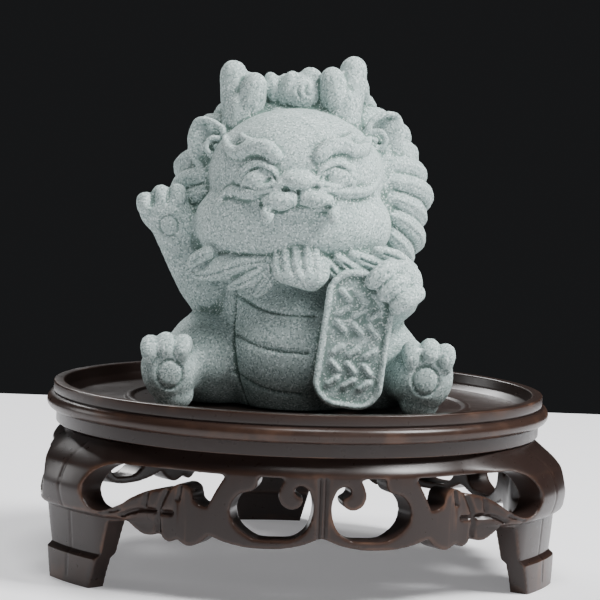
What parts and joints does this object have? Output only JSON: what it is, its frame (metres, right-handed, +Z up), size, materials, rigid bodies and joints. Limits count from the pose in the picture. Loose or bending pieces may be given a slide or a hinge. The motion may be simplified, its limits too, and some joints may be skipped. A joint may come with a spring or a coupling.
{
  "type": "dragon statue on a display stand",
  "caption": "Small seated lucky dragon with a raised paw and a tablet, resting on a round pierced display stand with three legs.",
  "frame": {"origin": "on the ground, under the middle of the bounding box", "axes": "+Z up, the dragon faces -Y, +X is to the right of someone who looks at its face"},
  "size_m": [0.1368, 0.14, 0.135],
  "materials": {
    "green_stone": "matt, fine-grained green and white sandstone powder cast in resin, darker green in the creases",
    "dark_moulding": "glossy dark brown, like lacquered rosewood, a little worn to orange-brown on the rim"
  },
  "bodies": {
    "root": {"dragon": "green_stone", "stand": "dark_moulding"}
  },
  "joints": []
}
